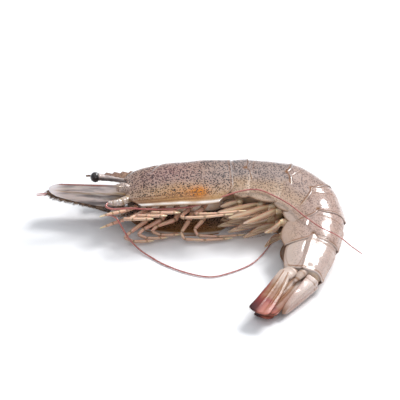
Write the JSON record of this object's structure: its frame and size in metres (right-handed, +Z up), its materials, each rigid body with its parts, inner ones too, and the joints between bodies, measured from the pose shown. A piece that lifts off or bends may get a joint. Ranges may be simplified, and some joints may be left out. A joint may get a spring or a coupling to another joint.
{
  "type": "raw whiteleg shrimp",
  "caption": "Whole raw shrimp with head, legs and tail fan, lying on its side with the abdomen curled and the antennae swept back.",
  "frame": {"origin": "on the table, under the middle of the whole animal's box", "axes": "+Z up from the table, with the animal lying on its right side; +X from the horn towards the bent tail; +Y towards the back of the carapace"},
  "size_m": [0.1088, 0.0748, 0.0179],
  "materials": {
    "shell": "wet, translucent grey-brown shell with dark specks",
    "shell_dark": "wet, translucent, streaked brown",
    "tail_tips": "wet, dark red towards the tips",
    "legs": "wet, translucent cream and pink",
    "antennae": "wet, pinkish red",
    "eyes": "high gloss black"
  },
  "bodies": {
    "root": {"carapace": "shell", "abdomen_segment_1": "shell", "abdomen_segment_2": "shell", "abdomen_segment_3": "shell", "abdomen_segment_4": "shell", "abdomen_segment_5": "shell", "abdomen_segment_6": "shell", "telson": "shell", "uropod_exopod_left": "tail_tips", "uropod_exopod_right": "tail_tips", "uropod_endopod_left": "shell", "uropod_endopod_right": "shell", "eye_left": "eyes", "eye_right": "eyes", "antennule_left": "shell_dark", "antennule_right": "shell_dark", "antennal_scale_left": "shell_dark", "antennal_scale_right": "shell_dark", "antenna_peduncle_left": "shell", "antenna_peduncle_right": "shell", "antenna_flagellum_left": "antennae", "antenna_flagellum_right": "antennae", "maxilliped_left": "legs", "maxilliped_right": "legs", "leg_1_left": "legs", "leg_1_right": "legs", "leg_2_left": "legs", "leg_2_right": "legs", "leg_3_left": "legs", "leg_3_right": "legs", "leg_4_left": "legs", "leg_4_right": "legs", "leg_5_left": "legs", "leg_5_right": "legs", "pleopod_1_left": "legs", "pleopod_1_right": "legs", "pleopod_2_left": "legs", "pleopod_2_right": "legs", "pleopod_3_left": "legs", "pleopod_3_right": "legs", "pleopod_4_left": "legs", "pleopod_4_right": "legs", "pleopod_5_left": "legs", "pleopod_5_right": "legs"}
  },
  "joints": []
}
